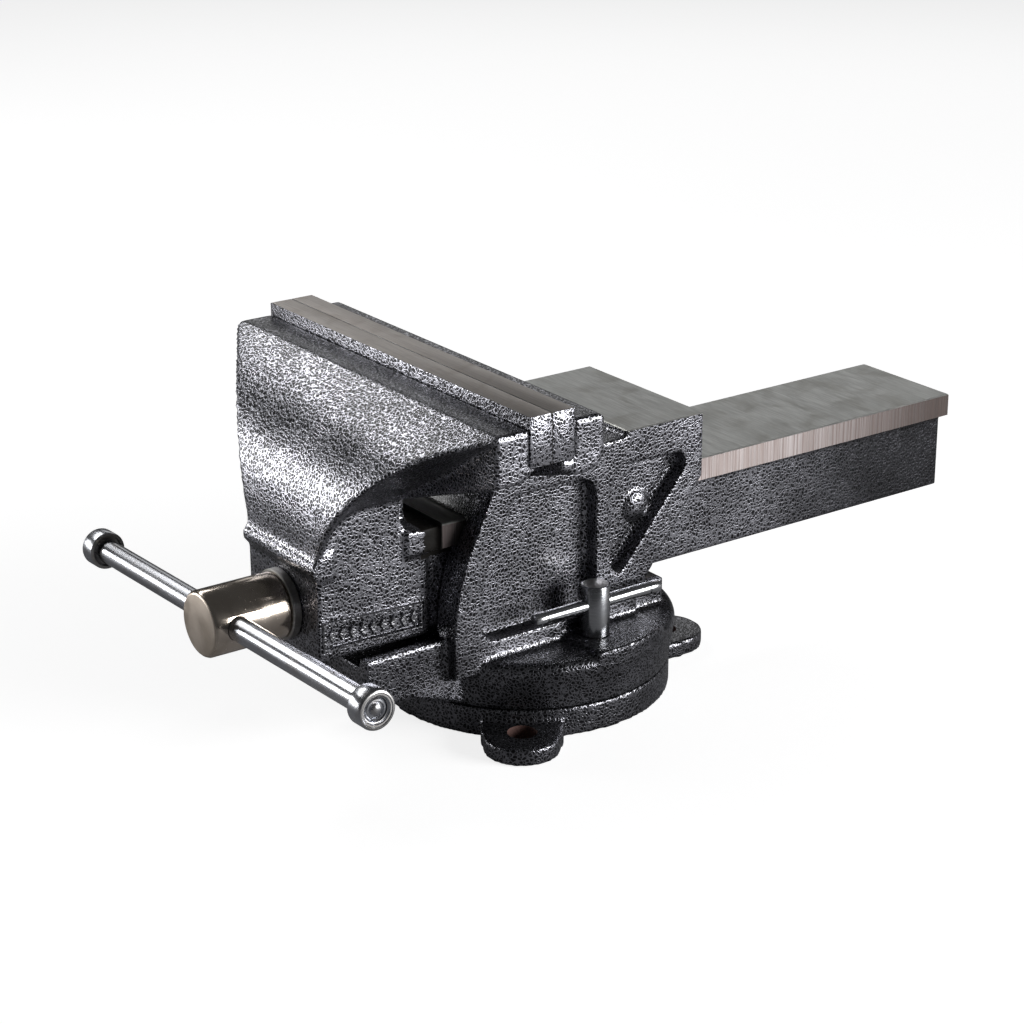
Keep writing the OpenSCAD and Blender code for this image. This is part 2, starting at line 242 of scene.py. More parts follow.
def sums(tree, operation, a, b):
    """One step of arithmetic between two values."""
    return add(tree, "ShaderNodeMath", {0: a, 1: b}, operation=operation).outputs["Value"]


def blend_colours(tree, factor, a, b):
    """Mixes two colours."""
    mix = add(tree, "ShaderNodeMix", data_type="RGBA", blend_type="MIX")
    for index, value in ((0, factor), (6, a), (7, b)):
        if isinstance(value, bpy.types.NodeSocket):
            tree.links.new(value, mix.inputs[index])
        else:
            mix.inputs[index].default_value = value
    return mix.outputs[2]


def finish(name, metallic, coat=0.0):
    """A new material: its tree, its shader and the piece's own coordinates."""
    material = bpy.data.materials.new(name)
    material.use_nodes = True
    tree = material.node_tree
    surface = tree.nodes["Principled BSDF"]
    surface.inputs["Metallic"].default_value = metallic
    surface.inputs["Coat Weight"].default_value = coat
    place = add(tree, "ShaderNodeTexCoord").outputs["Object"]
    return material, tree, surface, place


def emboss(tree, surface, height, distance):
    """Raises the surface by a height."""
    bump = add(tree, "ShaderNodeBump", {"Height": height, "Distance": distance, "Strength": 1.0})
    tree.links.new(bump.outputs["Normal"], surface.inputs["Normal"])


# Hammertone: silver flake drawn into a fine net round darker cells as the enamel dries.
hammer, takes, gives = effect(
    "hammertone_net",
    {"Place": "NodeSocketVector", "Cells": "NodeSocketFloat"},
    {"Net": "NodeSocketFloat", "Cloud": "NodeSocketFloat", "Height": "NodeSocketFloat"})
wander = add(hammer, "ShaderNodeTexNoise", {"Vector": takes.outputs["Place"], "Scale": 420.0, "Detail": 1.5})
centred = add(hammer, "ShaderNodeVectorMath", {0: wander.outputs["Color"], 1: (0.5, 0.5, 0.5)},
              operation="SUBTRACT")
small = add(hammer, "ShaderNodeVectorMath", {0: centred.outputs["Vector"], "Scale": 0.0022},
            operation="SCALE")
warped = add(hammer, "ShaderNodeVectorMath", {0: takes.outputs["Place"], 1: small.outputs["Vector"]},
             operation="ADD")
cells = add(hammer, "ShaderNodeTexVoronoi",
            {"Vector": warped.outputs["Vector"], "Scale": takes.outputs["Cells"], "Randomness": 0.9},
            feature="DISTANCE_TO_EDGE")
net = spread(hammer, cells.outputs["Distance"], 0.03, 0.17, 1.0, 0.0)
cloud = add(hammer, "ShaderNodeTexNoise", {"Vector": takes.outputs["Place"], "Scale": 38.0, "Detail": 3.0})
hammer.links.new(net, gives.inputs["Net"])
hammer.links.new(spread(hammer, cloud.outputs["Fac"], 0.35, 0.65, 0.0, 1.0), gives.inputs["Cloud"])
fine = add(hammer, "ShaderNodeTexNoise", {"Vector": takes.outputs["Place"], "Scale": 1500.0, "Detail": 2.0})
rounded = spread(hammer, cells.outputs["Distance"], 0.0, 0.38, 1.0, 0.0)
hammer.links.new(sums(hammer, "ADD", rounded, sums(hammer, "MULTIPLY", fine.outputs["Fac"], 0.10)),
                 gives.inputs["Height"])


def hammertone(name, edge_wear_and_sheen):
    """Silver and black hammertone enamel, a little brighter along the casting's edges as wear and painted
    highlight, with painted shade low down, at the rear and under the apron.
    """
    material, tree, surface, place = finish(name, 0.92, 0.28)
    surface.inputs["Coat Roughness"].default_value = 0.20
    net = add(tree, "ShaderNodeGroup", {"Place": place, "Cells": 630.0}, node_tree=hammer)
    dark = blend_colours(tree, net.outputs["Cloud"], (0.006, 0.006, 0.007, 1), (0.020, 0.020, 0.023, 1))
    light = blend_colours(tree, net.outputs["Cloud"], (0.31, 0.31, 0.34, 1), (0.48, 0.48, 0.525, 1))
    where = add(tree, "ShaderNodeSeparateXYZ", {0: place}).outputs
    # Painted shade: the net's light colour goes darker towards the bottom of the casting and towards the
    # rear of the slide.
    low = spread(tree, where["Z"], 0.035, 0.065, 0.48, 0.0)
    far = spread(tree, where["Y"], 0.070, 0.200, 0.0, 0.95)
    light = blend_colours(tree, sums(tree, "MAXIMUM", low, far), light, (0.040, 0.040, 0.044, 1))
    # Painted shadow: in the gap under the apron, between the block and the front of the body, the net's
    # light colour goes near black.
    apron_shadow_mask = spread(tree, sums(tree, "ABSOLUTE", where["X"], 0.0), 0.030, 0.038, 0.96, 0.0)
    for axis, start, end, first, last in (("Z", 0.096, 0.098, 0, 1), ("Z", 0.101, 0.116, 1, 0),
                                          ("Y", -0.062, -0.058, 0, 1), ("Y", -0.034, -0.028, 1, 0)):
        apron_shadow_mask = sums(tree, "MULTIPLY", apron_shadow_mask, spread(tree, where[axis], start, end, first, last))
    light = blend_colours(tree, apron_shadow_mask, light, (0.008, 0.008, 0.008, 1))
    paint = blend_colours(tree, net.outputs["Net"], dark, light)
    # Edges found by pointiness are brightened: partly wear through the enamel, partly a painted highlight on
    # the fillets.
    if edge_wear_and_sheen:
        edges = add(tree, "ShaderNodeNewGeometry").outputs["Pointiness"]
        worn_and_sheen_edges = spread(tree, edges, 0.54, 0.62, 0.0, edge_wear_and_sheen)
        paint = blend_colours(tree, worn_and_sheen_edges, paint, (0.50, 0.50, 0.52, 1))
    tree.links.new(paint, surface.inputs["Base Color"])
    tree.links.new(spread(tree, net.outputs["Net"], 0.0, 1.0, 0.36, 0.24), surface.inputs["Roughness"])
    emboss(tree, surface, net.outputs["Height"], 0.00014)
    return material


enamel = hammertone("hammertone_enamel", 0.3)
plate_enamel = hammertone("hammertone_on_plates", 0)

# Red lead primer, where the moulding cores left pockets that the enamel spray didn't reach.
primer, tree, surface, place = finish("red_primer", 0.0)
blotches = add(tree, "ShaderNodeTexNoise", {"Vector": place, "Scale": 90.0, "Detail": 5.0})
tone = blend_colours(tree, blotches.outputs["Fac"], (0.050, 0.022, 0.018, 1), (0.11, 0.055, 0.045, 1))
tree.links.new(tone, surface.inputs["Base Color"])
tree.links.new(spread(tree, blotches.outputs["Fac"], 0.3, 0.7, 0.6, 0.85), surface.inputs["Roughness"])
grit = add(tree, "ShaderNodeTexNoise", {"Vector": place, "Scale": 900.0, "Detail": 3.0})
emboss(tree, surface, grit.outputs["Fac"], 0.00025)

holes = [(bolt_circle * math.cos(math.radians(a)), bolt_circle * math.sin(math.radians(a)), 0)
         for a in base_lug_angles]
plug = [(0, 0), (0.008, 0), (0.008, lug_top), (0, lug_top)]
drill = [(0, -0.01), (bolt_hole, -0.01), (bolt_hole, 0.02), (0, 0.02)]
plugs = [turned("plug", plug, c, (0, 0, 1), 48) for c in holes]
drills = [turned("drill", drill, c, (0, 0, 1), 64) for c in holes]
base_plate = sand_cast("base_casting", "base_plate", plugs, drills, grain=0.0010, rubs=5, keep=0.55)
coat(base_plate, enamel, primer)
for face in base_plate.data.polygons:
    reach = min(math.dist(face.center[:2], c[:2]) for c in holes)
    if reach < bolt_hole + 0.00005:
        face.material_index = 1
soften(base_plate)
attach(base_plate, "base")
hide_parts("base_plate")


# ---- pivot bolt and clamp nuts ----
# A flanged bolt up the middle of the base carries the turntable, and two round T-nuts slide in the
# base's slot. They are turned from steel bar and left oily, with the lathe's rings on them.

lathe, takes, gives = effect(
    "tool_marks",
    {"Place": "NodeSocketVector", "Fineness": "NodeSocketFloat"},
    {"Tone": "NodeSocketFloat", "Height": "NodeSocketFloat"})
broad = add(lathe, "ShaderNodeTexNoise", {"Vector": takes.outputs["Place"],
                                          "Scale": takes.outputs["Fineness"], "Detail": 4.0,
                                          "Roughness": 0.65})
lathe.links.new(spread(lathe, broad.outputs["Fac"], 0.30, 0.70, 0.0, 1.0), gives.inputs["Tone"])
lathe.links.new(broad.outputs["Fac"], gives.inputs["Height"])

stains, takes, gives = effect(
    "handling_stains",
    {"Place": "NodeSocketVector", "Size": "NodeSocketFloat"},
    {"Stain": "NodeSocketFloat", "Scratch": "NodeSocketFloat"})
smear = add(stains, "ShaderNodeTexNoise", {"Vector": takes.outputs["Place"], "Scale": takes.outputs["Size"],
                                           "Detail": 6.0, "Distortion": 0.6})
stains.links.new(spread(stains, smear.outputs["Fac"], 0.48, 0.70, 0.0, 1.0), gives.inputs["Stain"])
rake = add(stains, "ShaderNodeMapping", {"Vector": takes.outputs["Place"], "Rotation": (0.3, 0.5, 0.8),
                                         "Scale": (40.0, 900.0, 600.0)})
scores = add(stains, "ShaderNodeTexNoise", {"Vector": rake.outputs["Vector"], "Scale": 1.0, "Detail": 2.0})
stains.links.new(spread(stains, scores.outputs["Fac"], 0.66, 0.74, 0.0, 1.0), gives.inputs["Scratch"])


def metal(name, colour, stain_colour, stretch, fineness, roughness, relief):
    """A bare or plated metal with tool marks that run one way, faint stains and fine scratches."""
    material, tree, surface, place = finish(name, 1.0)
    lay = add(tree, "ShaderNodeMapping", {"Vector": place, "Scale": stretch})
    marks = add(tree, "ShaderNodeGroup", {"Place": lay.outputs["Vector"], "Fineness": fineness},
                node_tree=lathe)
    use = add(tree, "ShaderNodeGroup", {"Place": place, "Size": 55.0}, node_tree=stains)
    shade = tuple(c * 0.86 for c in colour[:3]) + (1,)
    tone = blend_colours(tree, marks.outputs["Tone"], shade, colour)
    tone = blend_colours(tree, sums(tree, "MULTIPLY", use.outputs["Stain"], 0.5), tone, stain_colour)
    scratched = sums(tree, "MULTIPLY", use.outputs["Scratch"], 0.35)
    tone = blend_colours(tree, scratched, tone, (0.9, 0.9, 0.9, 1))
    tree.links.new(tone, surface.inputs["Base Color"])
    dull = spread(tree, marks.outputs["Tone"], 0.0, 1.0, roughness[0], roughness[1])
    dull = sums(tree, "ADD", dull, sums(tree, "MULTIPLY", use.outputs["Stain"], 0.08))
    tree.links.new(dull, surface.inputs["Roughness"])
    emboss(tree, surface, marks.outputs["Height"], relief)
    return material


oiled_steel = metal("oiled_steel", (0.42, 0.41, 0.39, 1), (0.20, 0.17, 0.13, 1), (1, 1, 6), 160.0,
                    (0.45, 0.30), 0.00008)
for node in ("pivot_bolt", "clamp_nut_left", "clamp_nut_right"):
    coat(nodes[node], oiled_steel)


# ---- body ----
# The heavy iron casting that turns on the base: body, rear jaw and anvil in one piece. It is sprayed
# with hammertone, then the anvil is ground flat, and the seats and the channel are milled.

body_half = 0.042
anvil_top = 0.1255
anvil_y = (0.0257, 0.0689)
chamfer = 0.0005
clearance = 0.0003
slide_half = 0.030
web_half = 0.0265
slide_top = 0.0985
flange_under = 0.0877
channel_floor = 0.0475

ground_iron = metal("ground_iron", (0.62, 0.625, 0.60, 1), (0.50, 0.49, 0.45, 1), (0.25, 4, 1), 300.0,
                    (0.44, 0.34), 0.000006)
milled_iron = metal("milled_iron", (0.30, 0.29, 0.28, 1), (0.14, 0.10, 0.08, 1), (1, 0.3, 1), 420.0,
                    (0.55, 0.40), 0.00006)

plate_low, plate_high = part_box("rear_jaw_plate")
jaw_half = plate_high.x
seat = block("seat", (-jaw_half - 0.001, plate_low.y - 0.002, plate_low.z - 0.0001),
             (jaw_half + 0.001, plate_high.y, plate_high.z + 0.005))
anvil_stock = block("stock", (-body_half, anvil_y[0], anvil_top - 0.004),
                    (body_half, anvil_y[1], anvil_top + 0.002))
boss_at = (0.0340, 0.0372, 0.0860)
boss = turned("boss", [(0, -0.003), (0.0070, -0.002), (0.0070, 0.0002), (0.0064, 0.0012), (0.0052, 0.0018),
                       (0.0036, 0.0022), (0.0018, 0.0024), (0, 0.0025)], boss_at, (1, 0, 0), 32)


def shaved_top(name, low, high, top, start, end, along):
    """Cuts a level top with a small chamfer along both its edges."""
    c = chamfer
    rise = top + 0.006
    outline = [(low - 0.004, top - c), (low, top - c), (low + c, top), (high - c, top), (high, top - c),
               (high + 0.004, top - c), (high + 0.004, rise), (low - 0.004, rise)]
    return prism(name, outline, start, end, along)


anvil_cut = shaved_top("anvil_cut", -body_half, body_half, anvil_top, anvil_y[0] - 0.0001, 0.075, "y")
anvil_ends = shaved_top("anvil_ends", anvil_y[0] - 0.0001, anvil_y[1], anvil_top, -0.05, 0.05, "x")
web_gap = web_half + clearance
flange_gap = slide_half + clearance
ledge = flange_under - 0.0001
channel_half = [(web_gap, channel_floor), (web_gap, ledge), (flange_gap, ledge),
                (flange_gap, slide_top + clearance)]
channel = prism("channel", channel_half + [(-x, z) for x, z in channel_half[::-1]], -0.075, 0.08, "y")
body = sand_cast("body_casting", "turntable_body", [anvil_stock, boss],
                 [seat, anvil_cut, anvil_ends, channel], rubs=3, keep=0.42)
coat(body, enamel, ground_iron, milled_iron)
for face in body.data.polygons:
    x, y, z = face.center
    if z > anvil_top - chamfer - 0.00005 and y > anvil_y[0] - 0.0005 and y < 0.07:
        face.material_index = 1
    elif abs(x) < flange_gap + 0.00005 and channel_floor - 0.00005 < z < slide_top + 0.0004:
        if abs(face.normal.y) < 0.5:
            face.material_index = 2
soften(body)
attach(body, "turntable")
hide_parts("turntable_body")


# ---- lead nut ----
# An iron block bolted into the floor of the body, bored and tapped for the screw. It is sawn and
# milled all over and never painted, and two cap screws come up into it from below.

coat(nodes["lead_nut"], milled_iron)
coat(nodes["nut_bolts"], oiled_steel)


# ---- movable jaw and slide ----
# One iron casting: the apron and jaw, the block that carries the screw and the long T-shaped slide.
# After spraying, the slide's top is ground and the sides of its flange are milled.

slide_end = 0.2335
flange_start = -0.062
panel_out = 0.0012
block_half = 0.0281
lozenge = (0.0019, 0.0036)
lozenge_pitch = 0.0051

flange_stock = block("stock", (-slide_half - 0.002, flange_start - 0.004, flange_under),
                     (slide_half + 0.002, slide_end + 0.002, slide_top + 0.002))
low_cut = flange_under - 0.0007
high_cut = slide_top + 0.006
flange_half = [(slide_half - chamfer, slide_top), (slide_half, slide_top - chamfer), (slide_half, low_cut),
               (slide_half + 0.0045, low_cut), (slide_half + 0.0045, high_cut)]
flange_cut = prism("flange_cut", flange_half + [(-x, z) for x, z in flange_half[::-1]],
                   flange_start - 0.0035, 0.24, "y")
end_cut = prism("end_cut", [(slide_end, flange_under - 0.001), (slide_end, slide_top - chamfer),
                            (slide_end - chamfer, slide_top), (slide_end - chamfer, 0.104), (0.241, 0.104),
                            (0.241, flange_under - 0.001)], -0.04, 0.04, "x")
front_low, front_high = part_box("front_jaw_plate")
seat = block("seat", (-jaw_half - 0.001, front_low.y, front_low.z - 0.0001),
             (jaw_half + 0.001, front_high.y + 0.002, front_high.z + 0.005))
bed = (block_half + 0.00005, block_half + 0.00405)
panel_beds = [block("bed", (-bed[1], -0.1256, 0.0500), (-bed[0], -0.0735, 0.0700)),
              block("bed", (bed[0], -0.1256, 0.0500), (bed[1], -0.0735, 0.0700))]
jaw = sand_cast("jaw_casting", "movable_jaw", [flange_stock], [flange_cut, end_cut, seat] + panel_beds,
                rubs=3, keep=0.42)

# Milled flange: upright cutter marks, pale where the light cut was taken and browner to the rear, and
# darkened close behind the block as painted shade.
milled_flange, tree, surface, place = finish("milled_flange", 1.0)
lay = add(tree, "ShaderNodeMapping", {"Vector": place, "Scale": (1, 900.0, 12.0)})
marks = add(tree, "ShaderNodeTexNoise", {"Vector": lay.outputs["Vector"], "Scale": 1.0, "Detail": 2.0})
ticks = spread(tree, marks.outputs["Fac"], 0.38, 0.62, 0.0, 1.0)
steps = add(tree, "ShaderNodeMapping", {"Vector": place, "Scale": (1, 110.0, 3.0)})
bands = add(tree, "ShaderNodeTexNoise", {"Vector": steps.outputs["Vector"], "Scale": 1.0, "Detail": 3.0})
pale = blend_colours(tree, ticks, (0.30, 0.25, 0.24, 1), (0.74, 0.68, 0.67, 1))
banded = spread(tree, bands.outputs["Fac"], 0.35, 0.65, 0.0, 0.5)
pale = blend_colours(tree, banded, pale, (0.36, 0.30, 0.28, 1))
along = add(tree, "ShaderNodeSeparateXYZ", {0: place}).outputs["Y"]
browner = spread(tree, along, 0.09, 0.235, 0.0, 0.92)
pale = blend_colours(tree, browner, pale, (0.07, 0.055, 0.05, 1))
# Painted shade: darker close behind the block, under the apron.
pale = blend_colours(tree, spread(tree, along, -0.060, -0.035, 0.85, 0.0), pale, (0.06, 0.05, 0.05, 1))
tree.links.new(pale, surface.inputs["Base Color"])
tree.links.new(spread(tree, ticks, 0.0, 1.0, 0.55, 0.38), surface.inputs["Roughness"])
emboss(tree, surface, marks.outputs["Fac"], 0.00012)


# Painted shadow: a near-black, dull finish on the slide close behind the block, where the apron shades it.
painted_apron_shadow, tree, surface, place = finish("painted_apron_shadow", 0.0)
surface.inputs["Specular IOR Level"].default_value = 0.15
lumps = add(tree, "ShaderNodeTexNoise", {"Vector": place, "Scale": 420.0, "Detail": 4.0})
tree.links.new(blend_colours(tree, lumps.outputs["Fac"], (0.003, 0.003, 0.003, 1), (0.014, 0.012, 0.010, 1)),
               surface.inputs["Base Color"])
tree.links.new(spread(tree, lumps.outputs["Fac"], 0.3, 0.7, 0.45, 0.75), surface.inputs["Roughness"])
emboss(tree, surface, lumps.outputs["Fac"], 0.0002)
apron_shadow_end = -0.0490


def raised_panel(side):
    """The mesh of the plain cast panel on one side of the block: a rim round a row of lozenges."""
    work = bmesh.new()
    rims = []
    corners = [(-0.1240, 0.0542), (-0.1240, 0.0678), (-0.0742, 0.0654), (-0.0742, 0.0532)]
    centre = (-0.0991, 0.0601)
    for inset, out in ((0.0, -0.001), (0.0, 0.0004), (0.0005, panel_out), (0.0013, panel_out),
                       (0.0018, 0.0004), (0.0018, -0.001)):
        rim = []
        for y, z in corners:
            at = (y + math.copysign(inset, centre[0] - y), z + math.copysign(inset, centre[1] - z))
            rim.append(work.verts.new((side * (block_half + out), at[0], at[1])))
        rims.append(rim)
    for near, far in zip(rims, rims[1:] + rims[:1]):
        for k in range(4):
            work.faces.new((near[k], near[(k + 1) % 4], far[(k + 1) % 4], far[k]))
    for k in range(9):
        y = -0.1196 + lozenge_pitch * k
        z = 0.0610 - 0.00022 * k
        loops = []
        for size, out in ((1.0, -0.001), (0.95, 0.0004), (0.74, panel_out)):
            x = side * (block_half + out)
            loops.append([work.verts.new((x, y + a * lozenge[0] * size, z + b * lozenge[1] * size))
                          for a, b in ((1, 0), (0, 1), (-1, 0), (0, -1))])
        for near, far in zip(loops, loops[1:]):
            for n in range(4):
                work.faces.new((near[n], near[(n + 1) % 4], far[(n + 1) % 4], far[n]))
        work.faces.new(loops[0])
        work.faces.new(loops[-1])
    bmesh.ops.recalc_face_normals(work, faces=work.faces)
    relief = bpy.data.meshes.new("relief")
    work.to_mesh(relief)
    work.free()
    return relief


for side in (-1, 1):
    join(jaw, raised_panel(side))
coat(jaw, enamel, ground_iron, milled_flange, painted_apron_shadow)
for face in jaw.data.polygons:
    x, y, z = face.center
    # Painted shadow on the slide close behind the block, under the apron.
    if -0.0745 < y < apron_shadow_end and 0.0845 < z < 0.1060 and abs(x) < 0.0325 and face.normal.z > -0.5:
        if abs(x) < slide_half - 0.00002 or y < -0.0565:
            face.material_index = 3
            continue
    if z > slide_top - chamfer - 0.00005 and z < slide_top + 0.00005 and abs(x) < 0.0301 and y > -0.0700:
        face.material_index = 1
    elif abs(abs(x) - slide_half) < 0.00002 and z > flange_under - 0.0008 and z < slide_top and y > -0.0560:
        face.material_index = 2
soften(jaw)
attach(jaw, "slide")
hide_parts("movable_jaw")


# ---- jaw plates ----
# Two hardened steel plates, each held by two cap screws. The spray coats their ends and outer
# faces, the tops are ground after it, and the gripping faces are cut into small pyramids.

grip_pitch = 0.0016
grip_depth = 0.0006
grip_margin = 0.0020
plate_screw_x = 0.065
plate_screw_z = 0.1546
counterbore = 0.0070
socket_r = 0.0034

ground_steel = metal("ground_jaw_steel", (0.74, 0.69, 0.65, 1), (0.50, 0.45, 0.41, 1), (0.12, 3, 3), 420.0,
                     (0.52, 0.42), 0.000008)
grip_steel = metal("grip_steel", (0.34, 0.33, 0.32, 1), (0.16, 0.13, 0.11, 1), (1, 1, 1), 500.0,
                   (0.46, 0.34), 0.00003)
black_oxide = metal("black_oxide", (0.075, 0.073, 0.072, 1), (0.16, 0.12, 0.09, 1), (1, 1, 1), 300.0,
                    (0.46, 0.34), 0.00003)

# The tree lays a grid of four-sided pyramids over an upright panel.
grips = bpy.data.node_groups.new("grip_pyramids", "GeometryNodeTree")
for label, kind in (("Width", "NodeSocketFloat"), ("Height", "NodeSocketFloat"),
                    ("Columns", "NodeSocketInt"), ("Rows", "NodeSocketInt"),
                    ("Pitch", "NodeSocketFloat"), ("Depth", "NodeSocketFloat"),
                    ("Centre", "NodeSocketVector"), ("Turn", "NodeSocketVector"),
                    ("Hole", "NodeSocketVector"), ("Hole Radius", "NodeSocketFloat"),
                    ("Finish", "NodeSocketMaterial")):
    grips.interface.new_socket(label, in_out="INPUT", socket_type=kind)
grips.interface.new_socket("Geometry", in_out="OUTPUT", socket_type="NodeSocketGeometry")
ins = grips.nodes.new("NodeGroupInput").outputs
grid = add(grips, "GeometryNodeMeshGrid", {"Size X": ins["Width"], "Size Y": ins["Height"],
                                           "Vertices X": ins["Columns"], "Vertices Y": ins["Rows"]})
bottom = sums(grips, "MULTIPLY", ins["Pitch"], 0.7071)
pyramid = add(grips, "GeometryNodeMeshCone", {"Vertices": 4, "Radius Bottom": bottom, "Radius Top": 0.0,
                                              "Depth": ins["Depth"]})
position = add(grips, "GeometryNodeInputPosition").outputs["Position"]
at = add(grips, "ShaderNodeSeparateXYZ", {0: position}).outputs
folded = add(grips, "ShaderNodeCombineXYZ", {"X": sums(grips, "ABSOLUTE", at["X"], 0.0), "Y": at["Y"]})
reach = add(grips, "ShaderNodeVectorMath", {0: folded.outputs["Vector"], 1: ins["Hole"]},
            operation="DISTANCE")
clear = sums(grips, "GREATER_THAN", reach.outputs["Value"], ins["Hole Radius"])
dots = add(grips, "GeometryNodeInstanceOnPoints",
           {"Points": grid.outputs["Mesh"], "Instance": pyramid.outputs["Mesh"], "Selection": clear,
            "Rotation": (0, 0, math.radians(45))})
stand = add(grips, "GeometryNodeTransform", {"Geometry": dots.outputs["Instances"],
                                             "Translation": ins["Centre"], "Rotation": ins["Turn"]})
real = add(grips, "GeometryNodeRealizeInstances", {"Geometry": stand.outputs["Geometry"]})
coated = add(grips, "GeometryNodeSetMaterial", {"Geometry": real.outputs["Geometry"],
                                                "Material": ins["Finish"]})
grips.links.new(coated.outputs["Geometry"], grips.nodes.new("NodeGroupOutput").inputs["Geometry"])


def jaw_plate(name, node, grip_way):
    """A jaw plate whose gripping face looks along +Y or -Y."""
    low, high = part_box(node)
    grip = high.y if grip_way > 0 else low.y
    back = low.y if grip_way > 0 else high.y
    outline = [(back, low.z), (grip, low.z), (grip, high.z), (back, high.z)]
    plate = prism(name, outline, low.x, high.x, "x")
    broken = plate.modifiers.new("broken_edges", "BEVEL")
    broken.width = 0.00035
    broken.segments = 2
    broken.limit_method = "ANGLE"
    bake(plate)
    sunk = grip - grip_way * grip_depth
    panel = ((low.x + grip_margin, low.z + grip_margin), (high.x - grip_margin, high.z - grip_margin))
    recess = block("recess", (panel[0][0], min(sunk, sunk + grip_way * 0.002), panel[0][1]),
                   (panel[1][0], max(sunk, sunk + grip_way * 0.002), panel[1][1]))
    bores = []
    for x in (-plate_screw_x, plate_screw_x):
        outline = [(0, -0.02), (0.0040, -0.02), (0.0040, -0.0073), (counterbore, -0.0073),
                   (counterbore, 0.002), (0, 0.002)]
        bores.append(turned("bore", outline, (x, grip, plate_screw_z), (0, grip_way, 0), 48))
    columns = int((panel[1][0] - panel[0][0]) / grip_pitch)
    rows = int((panel[1][1] - panel[0][1]) / grip_pitch)
    pattern = shelve("pattern", bpy.data.meshes.new("pattern"))
    modifier = pattern.modifiers.new("grips", "NODES")
    modifier.node_group = grips
    values = {"Width": (columns - 1) * grip_pitch, "Height": (rows - 1) * grip_pitch, "Columns": columns,
              "Rows": rows, "Pitch": grip_pitch, "Depth": grip_depth + 0.00005,
              "Centre": (0, sunk - grip_way * 0.00005, (panel[0][1] + panel[1][1]) / 2),
              "Turn": (math.radians(-90 * grip_way), 0, 0),
              "Hole": (plate_screw_x, grip_way * ((panel[0][1] + panel[1][1]) / 2 - plate_screw_z), 0),
              "Hole Radius": counterbore + grip_pitch * 0.6, "Finish": grip_steel}
    for item in grips.interface.items_tree:
        if item.in_out == "INPUT":
            modifier[item.identifier] = values[item.name]
    bake(pattern)
    machine(plate, [recess] + bores)
    join(plate, pattern.data)
    bpy.data.objects.remove(pattern)
    coat(plate, plate_enamel, ground_steel, grip_steel)
    for face in plate.data.polygons:
        depth = (grip - face.center.y) * grip_way
        if face.normal.z > 0.98 and face.center.z > high.z - 0.0001:
            face.material_index = 1
        elif depth < 0.0080 and abs(face.normal.x) < 0.9 and face.normal.z > -0.9:
            face.material_index = 2
        elif depth < 0.0010 and abs(face.center.x) < high.x - 0.001 and face.normal.z > -0.9:
            face.material_index = 2
        else:
            face.material_index = 0
    soften(plate)
    return plate


def cap_screws(name, grip, grip_way):
    """Two socket-head cap screws, sunk in a plate's counterbores."""
    made = None
    for x in (-plate_screw_x, plate_screw_x):
        outline = [(0, 0.0068), (0.0056, 0.0068), (0.0061, 0.0065), (0.0064, 0.0060), (0.0064, 0.0002),
                   (0.0062, 0), (0.00395, 0), (0.00395, -0.0140), (0.0032, -0.0149), (0, -0.0149)]
        centre = (x, grip - grip_way * 0.0070, plate_screw_z)
        screw = turned(name, outline, centre, (0, grip_way, 0), 64)
        turns = [math.radians(60 * k) for k in range(6)]
        socket = [(x + socket_r * math.cos(a), plate_screw_z + socket_r * math.sin(a)) for a in turns]
        ends = sorted((grip - grip_way * 0.0042, grip + grip_way * 0.002))
        machine(screw, [prism("socket", socket, ends[0], ends[1], "y")])
        if made is None:
            made = screw
        else:
            join(made, screw.data)
            bpy.data.objects.remove(screw)
    coat(made, black_oxide)
    soften(made)
    return made


front_plate = jaw_plate("front_grip_plate", "front_jaw_plate", 1)
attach(front_plate, "slide")
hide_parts("front_jaw_plate")
rear_plate = jaw_plate("rear_grip_plate", "rear_jaw_plate", -1)
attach(rear_plate, "turntable")
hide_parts("rear_jaw_plate")
front_screws = cap_screws("front_cap_screws", front_high.y, 1)
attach(front_screws, "slide")
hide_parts("front_plate_screws")
rear_screws = cap_screws("rear_cap_screws", plate_low.y, -1)
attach(rear_screws, "turntable")
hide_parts("rear_plate_screws")


# ---- screw ----
# A steel screw with a 5 mm trapezoidal thread and a stout head, cross-drilled for the bar. The head
# is polished and nickel plated, and the plating is warm and a little cloudy.

screw_low, screw_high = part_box("spindle")
screw_z = (screw_low.z + screw_high.z) / 2
head_r = (screw_high.x - screw_low.x) / 2
head_end = -0.1300
screw_r = 0.0100
thread_pitch = 0.005
thread_depth = 0.0024
thread_root = screw_r - thread_depth
thread_y = (-0.0690, 0.1880)
bar_y = -0.1555
bar_r = 0.0053
bar_axis = Vector(joints["handle_slide"]["axis"]).normalized()

nickel, tree, surface, place = finish("nickel_plate", 1.0)
use = add(tree, "ShaderNodeGroup", {"Place": place, "Size": 70.0}, node_tree=stains)
haze = add(tree, "ShaderNodeTexNoise", {"Vector": place, "Scale": 130.0, "Detail": 5.0})
tone = blend_colours(tree, haze.outputs["Fac"], (0.70, 0.60, 0.50, 1), (0.82, 0.73, 0.64, 1))
tone = blend_colours(tree, sums(tree, "MULTIPLY", use.outputs["Stain"], 0.4), tone, (0.42, 0.35, 0.27, 1))
tree.links.new(tone, surface.inputs["Base Color"])
y_along = add(tree, "ShaderNodeSeparateXYZ", {0: place}).outputs["Y"]
on_face = spread(tree, y_along, screw_low.y + 0.0002, screw_low.y + 0.0008, 1.0, 0.0)
shine = spread(tree, haze.outputs["Fac"], 0.3, 0.7, 0.13, 0.20)
shine = sums(tree, "ADD", shine, sums(tree, "MULTIPLY", on_face, 0.26))
shine = sums(tree, "ADD", shine, sums(tree, "MULTIPLY", use.outputs["Scratch"], 0.12))
tree.links.new(shine, surface.inputs["Roughness"])
emboss(tree, surface, haze.outputs["Fac"], 0.00004)

thread_steel = metal("thread_steel", (0.52, 0.51, 0.49, 1), (0.25, 0.21, 0.16, 1), (1, 8, 1), 200.0,
                     (0.36, 0.24), 0.00003)

